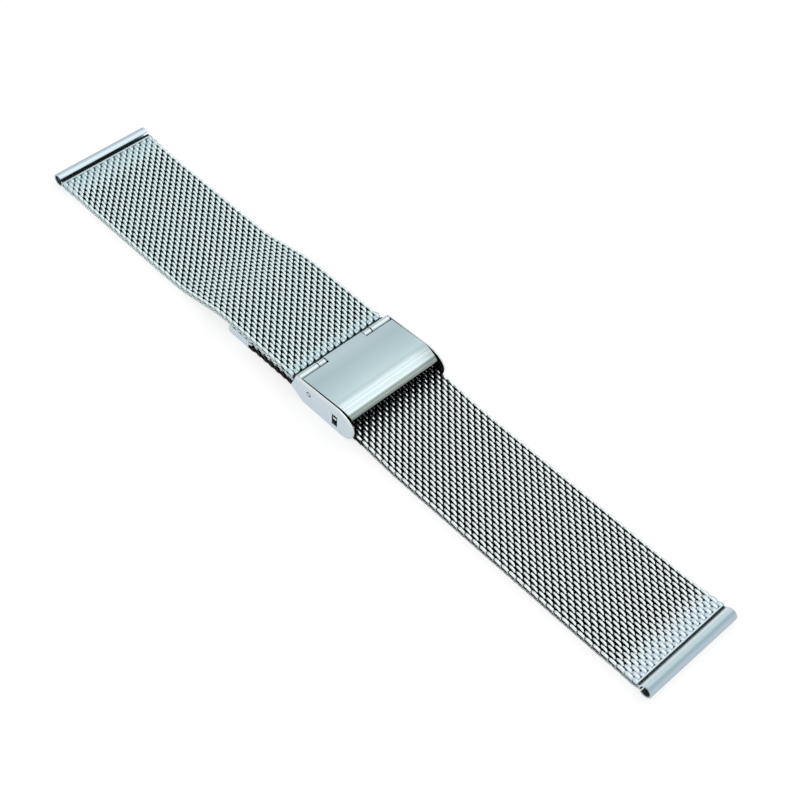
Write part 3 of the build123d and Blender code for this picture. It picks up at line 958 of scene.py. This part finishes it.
def lug_outline(centre, heading):
    """A tube's side outline: heading is the way into the mesh in degrees, and the opening lies to the left
    of it, up to the lip's angle. The tongue is thicker up to the mesh's edge, as a collar that is higher
    on the side of the opening."""
    root = math.degrees(math.asin(collar_half / tube_radius))
    open_root = math.degrees(math.asin(collar_open / tube_radius))
    outer = arc((0, 0), tube_radius, lip_angle, 360 - root, tube_points)
    step = tube_radius + mesh_gap
    below = np.array([[step, -collar_half], [step, -tongue_half], [tongue_length, -tongue_half]])
    above = np.array([[tongue_length, tongue_half], [step, tongue_half], [step, collar_open]])
    inner = arc((0, 0), bore_radius, 360 + open_root, lip_angle, bore_points)
    flat = np.concatenate([outer, below, above, inner])
    turn = math.radians(heading)
    turned = flat @ np.array([[math.cos(turn), math.sin(turn)], [-math.sin(turn), math.cos(turn)]])
    return turned + centre


print("a tube's outline has", len(lug_outline(np.zeros(2), 0)), "points")

# %% Lug tubes


def lug_tube(name, centre, hinge, body, node, steel):
    """One lug tube, with its opening, on its body. A point's run is its angle round the tube's middle as a
    share of a turn, from the mesh over the top to the outer side and back below."""
    towards = np.array(hinge_point(hinge)) - centre
    outline = lug_outline(centre, math.degrees(math.atan2(towards[1], towards[0])))
    edge = strap_width / 2
    piece = add_prism(name, outline, -edge, edge, steel, body, "satin_steel", node)
    turned = np.arctan2(outline[:, 1] - centre[1], (outline[:, 0] - centre[0]) * np.sign(towards[0]))
    add_values(piece, "run", np.tile(turned / (2 * np.pi) % 1, 2))
    middle = np.array([polygon.center for polygon in piece.data.polygons])
    radius = np.hypot(middle[:, 0] - centre[0], middle[:, 2] - centre[1])
    sides = np.abs(middle[:, 1]) < edge / 2
    inside = (radius < (bore_radius + tube_radius) / 2) & sides
    tongue = (radius > tube_radius) & sides
    # The bore gets a darker finish, painted shade inside the tube, and the tongue a near-black one, painted
    # shade in the gap at the mesh's end.
    piece.data.materials.append(bore_steel)
    piece.data.materials.append(dark_steel)
    piece.data.polygons.foreach_set("material_index", (inside + 2 * tongue).astype(np.int32))
    print(name, "has", int(inside.sum()), "faces in its bore and", int(tongue.sum()), "on its tongue")


lug_tube("tube_a", np.array(tube_a), "bend_a_6", "a7", "lug_tube_a", tube_steel_a)
lug_tube("tube_b", np.array(tube_b), "bend_b_7", "b8", "lug_tube_b", tube_steel_b)

# %% [markdown]
# The pressed edges. Right before each tube the last wires are pressed into one flat strip. Single wires
# could be flattened until they touch, but the strip's straight edge shows best as a thin piece of its own.

# %% Pressed edges
pressed_strip = 0.30 * mm
strip_stand = 0.01 * mm


def pressed_edge(name, path, end, inward, body):
    """A strip across the band: a rectangle from the mesh's end inwards, as high as the pressed weave and
    laid on the path, drawn across the width."""
    start = path.along(end)
    near, far = sorted([start, start + inward * pressed_strip])
    high = half_thick - press_flat_share * wire_radius + strip_stand
    flat = np.array([[near, 0, -high], [far, 0, -high], [far, 0, high], [near, 0, high]])
    outline, edge = path.bend(flat)[:, [0, 2]], strap_width / 2
    add_prism(name, outline, -edge, edge, strip_steel, body, "mesh_steel")
    print(name, "is", round(2 * high / mm, 2), "mm high")


pressed_edge("pressed_edge_a", path_a, mesh_end_a, 1, "a7")
pressed_edge("pressed_edge_b", path_b, mesh_end_b, -1, "b8")

# %% [markdown]
# The tail cap. The loose end of half B, under half A, is closed by a flat cap of folded sheet with a
# rounded far end. Its inside is filled by the mesh and never shows, so it is one solid outline here.

# %% Tail cap
cap_low, cap_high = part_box("tail_cap")
cap_round, cap_edge_round = 0.5 * mm, 0.12 * mm
cap_points = 8
cap_outline = np.concatenate([
    arc((cap_low[0] + cap_round, cap_low[2] + cap_round), cap_round, 180, 270, cap_points),
    [[cap_high[0], cap_low[2]], [cap_high[0], cap_high[2]]],
    arc((cap_low[0] + cap_round, cap_high[2] - cap_round), cap_round, 90, 180, cap_points)[:-1],
])
add_prism("tail_end_cap", cap_outline, cap_low[1], cap_high[1],
          satin_steel, "b1", "polished_steel", "tail_cap", cap_edge_round)
print("tail cap is", round((cap_high[0] - cap_low[0]) / mm, 2), "mm long")

# %% [markdown]
# The frame, the lock plate, the clip and the hinge pin. One could make each again as a finer mesh. Their
# shapes are right in the CAD model, so they keep their CAD nodes here and only get their finish.

# %% Finishes of the CAD nodes
finishes = {
    "clasp_frame": frame_steel,
    "cover_clip": spring_steel,
    "lock_plate": polished_steel,
    "hinge_pin": polished_steel,
}
for node, material in finishes.items():
    nodes[node].data.materials.clear()
    nodes[node].data.materials.append(material)
print("finished nodes:", len(finishes))

# %% [markdown]
# The table. The band lies on plain white with hardly a shadow. A floor that gives only its own light
# would show no shadow at all. This one is a pale surface that catches the shadow, and some light of its
# own, which the camera and the steel's reflections see, keeps the open floor white.

# %% Two looks of one surface


def two_looks(tree, output, plain, white):
    """Mixes two shaders by the kind of ray: white for the camera's rays and for those mirrored or let
    through, so that steel shows the white too, and plain for the rays that light other surfaces."""
    light_path = add_node(tree, "ShaderNodeLightPath")
    seen = light_path.outputs["Is Camera Ray"]
    for kind in ("Is Glossy Ray", "Is Transmission Ray"):
        either = add_node(tree, "ShaderNodeMath", operation="MAXIMUM")
        tree.links.new(seen, either.inputs[0])
        tree.links.new(light_path.outputs[kind], either.inputs[1])
        seen = either.outputs[0]
    choice = add_node(tree, "ShaderNodeMixShader")
    tree.links.new(seen, choice.inputs["Fac"])
    tree.links.new(plain.outputs[0], choice.inputs[1])
    tree.links.new(white.outputs[0], choice.inputs[2])
    tree.links.new(choice.outputs[0], output.inputs["Surface"])


# %% Floor
floor_size = 4.0
floor_mesh = bpy.data.meshes.new("floor")
corners = np.array([[-1, -1, 0], [1, -1, 0], [1, 1, 0], [-1, 1, 0]]) * floor_size
floor_mesh.from_pydata(corners.tolist(), [], [[0, 1, 2, 3]])
floor = bpy.data.objects.new("floor", floor_mesh)
bpy.context.scene.collection.objects.link(floor)
floor_material = bpy.data.materials.new("floor_white")
floor_material.use_nodes = True
tree = floor_material.node_tree
tree.nodes.clear()
output = add_node(tree, "ShaderNodeOutputMaterial")
plain = add_node(tree, "ShaderNodeBsdfDiffuse", Color=(0.86, 0.86, 0.86, 1.0))
sheer = add_node(tree, "ShaderNodeBsdfDiffuse", Color=(0.28, 0.28, 0.28, 1.0))
glow = add_node(tree, "ShaderNodeEmission", Color=(1.0, 1.0, 1.0, 1.0), Strength=0.756)
seen = add_node(tree, "ShaderNodeAddShader")
tree.links.new(sheer.outputs[0], seen.inputs[0])
tree.links.new(glow.outputs[0], seen.inputs[1])
two_looks(tree, output, plain, seen)
floor_mesh.materials.append(floor_material)
print("floor", 2 * floor_size, "m wide")

# %% [markdown]
# The light. A plain pale world lights the steel from all round, as a white tent does in a studio, which
# many lamps could only do roughly. One broad lamp overhead adds the brighter streaks on bends and wires.

# %% World
world = bpy.data.worlds.new("studio")
bpy.context.scene.world = world
world.use_nodes = True
tree = world.node_tree
tree.nodes.clear()
output = add_node(tree, "ShaderNodeOutputWorld")
plain = add_node(tree, "ShaderNodeBackground", Color=(1.0, 1.0, 1.0, 1.0), Strength=0.80)
white = add_node(tree, "ShaderNodeBackground", Color=(1.0, 1.0, 1.0, 1.0), Strength=1.0)
two_looks(tree, output, plain, white)
print("world:", world.name)

# %% Lamp
lamp_place = (0.05, 0.22, 0.60)
lamp_aim = (0.0, 0.0, 0.0)
lamp_size, lamp_power = 0.62, 0.90


def add_lamp(name, place, aim, size, power):
    """A square area lamp at a place, turned to face an aim point, both in metres."""
    data = bpy.data.lights.new(name, "AREA")
    data.shape = "SQUARE"
    data.size = size
    data.energy = power
    lamp = bpy.data.objects.new(name, data)
    bpy.context.scene.collection.objects.link(lamp)
    backward = np.array(place) - np.array(aim)
    backward = backward / np.linalg.norm(backward)
    across = np.cross([0.0, 1.0, 0.0], backward)
    across /= np.linalg.norm(across)
    turned = np.eye(4)
    turned[:3, :3] = np.stack([across, np.cross(backward, across), backward], axis=1)
    turned[:3, 3] = place
    lamp.matrix_world = Matrix(turned.tolist())


add_lamp("lamp_overhead", lamp_place, lamp_aim, lamp_size, lamp_power)
bpy.context.scene.view_settings.view_transform = "Standard"
print("lamp", round(lamp_place[2], 2), "m above the table")
